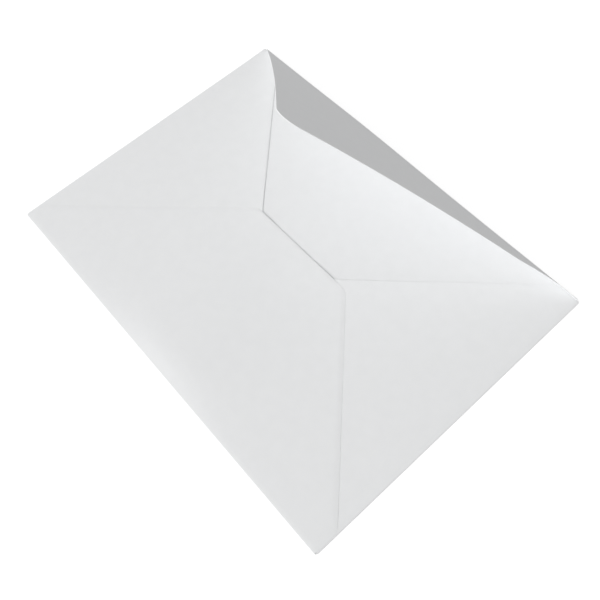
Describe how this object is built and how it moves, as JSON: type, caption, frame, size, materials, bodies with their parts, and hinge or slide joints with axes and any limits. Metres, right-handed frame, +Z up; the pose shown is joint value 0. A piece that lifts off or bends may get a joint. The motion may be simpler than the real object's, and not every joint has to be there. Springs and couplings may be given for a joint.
{
  "type": "paper envelope",
  "caption": "Paper envelope lying back up, folded and glued from a single sheet, with side flaps, a bottom flap and a pointed closing flap that stands ajar over the back.",
  "frame": {"origin": "middle of the underside, on the surface that the envelope lies on", "axes": "+X along the long side, +Y towards the closing fold, +Z up from the address face to the back"},
  "size_m": [0.165, 0.1206, 0.0689],
  "materials": {
    "paper": "smooth matt wove"
  },
  "bodies": {
    "root": {"envelope": "paper"}
  },
  "joints": []
}
